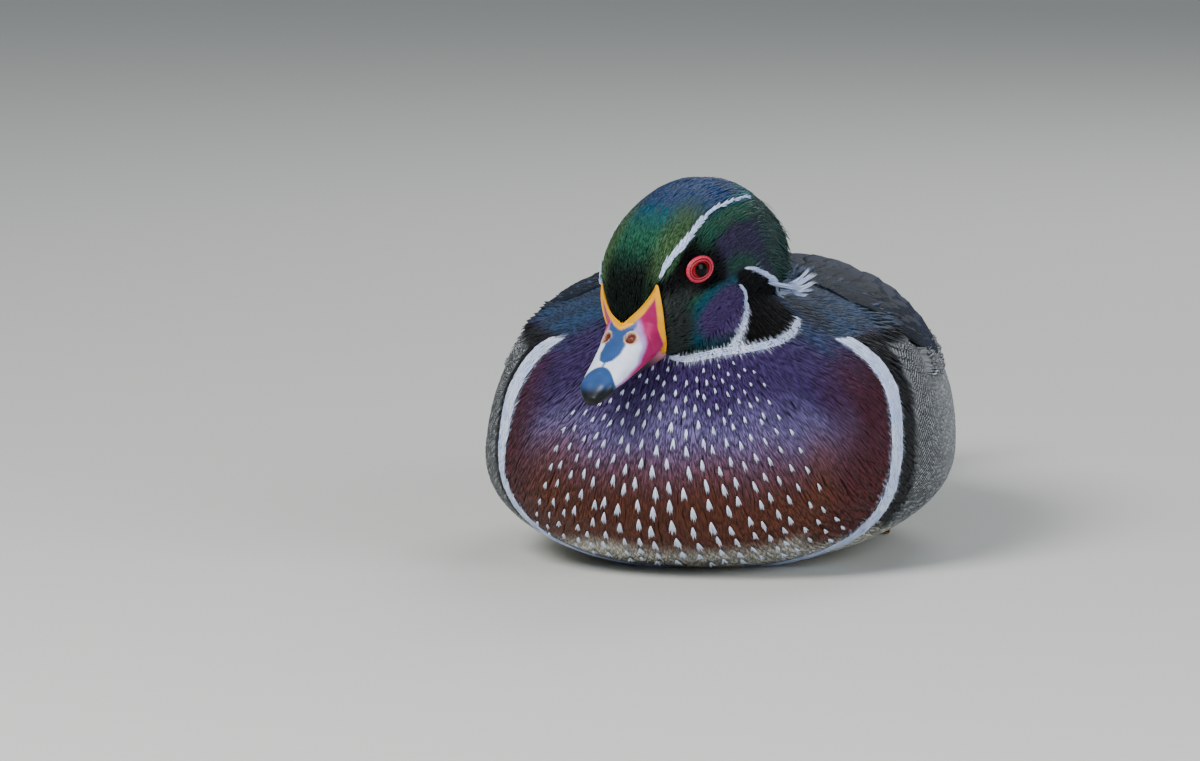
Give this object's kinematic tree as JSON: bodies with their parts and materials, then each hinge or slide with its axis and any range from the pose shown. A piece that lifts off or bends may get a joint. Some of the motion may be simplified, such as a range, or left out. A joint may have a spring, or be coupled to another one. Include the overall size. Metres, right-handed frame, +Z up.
{
  "type": "wood duck",
  "caption": "Life-size male wood duck resting on its belly as it floats, head turned to its right over the breast, wings folded.",
  "frame": {"origin": "middle of the flat under the belly, where the duck rests", "axes": "+Z up, -Y forward along the body to the breast, +X to the duck's left"},
  "size_m": [0.1784, 0.3898, 0.1523],
  "materials": {
    "head_feathers": "glossy green and purple feathers with white lines",
    "body_feathers": "soft feathers, maroon breast with white flecks, buff flanks, white belly",
    "wing_feathers": "dark feathers with blue and bronze gloss",
    "tail_feathers": "black feathers with bronze gloss",
    "bill_horn": "smooth horn, red with a white saddle, yellow base and black nail",
    "bill_horn_dark": "smooth dark horn",
    "eye": "wet and clear over a dark red iris and black pupil",
    "leg_skin": "scaled dull yellow skin with dark webs and claws"
  },
  "bodies": {
    "root": {"head": "head_feathers", "bill_upper": "bill_horn", "bill_lower": "bill_horn_dark", "eye_left": "eye", "eye_right": "eye", "neck": "body_feathers", "torso": "body_feathers", "wing_left": "wing_feathers", "wing_right": "wing_feathers", "tail": "tail_feathers", "leg_left": "leg_skin", "leg_right": "leg_skin", "foot_left": "leg_skin", "foot_right": "leg_skin"}
  },
  "joints": []
}
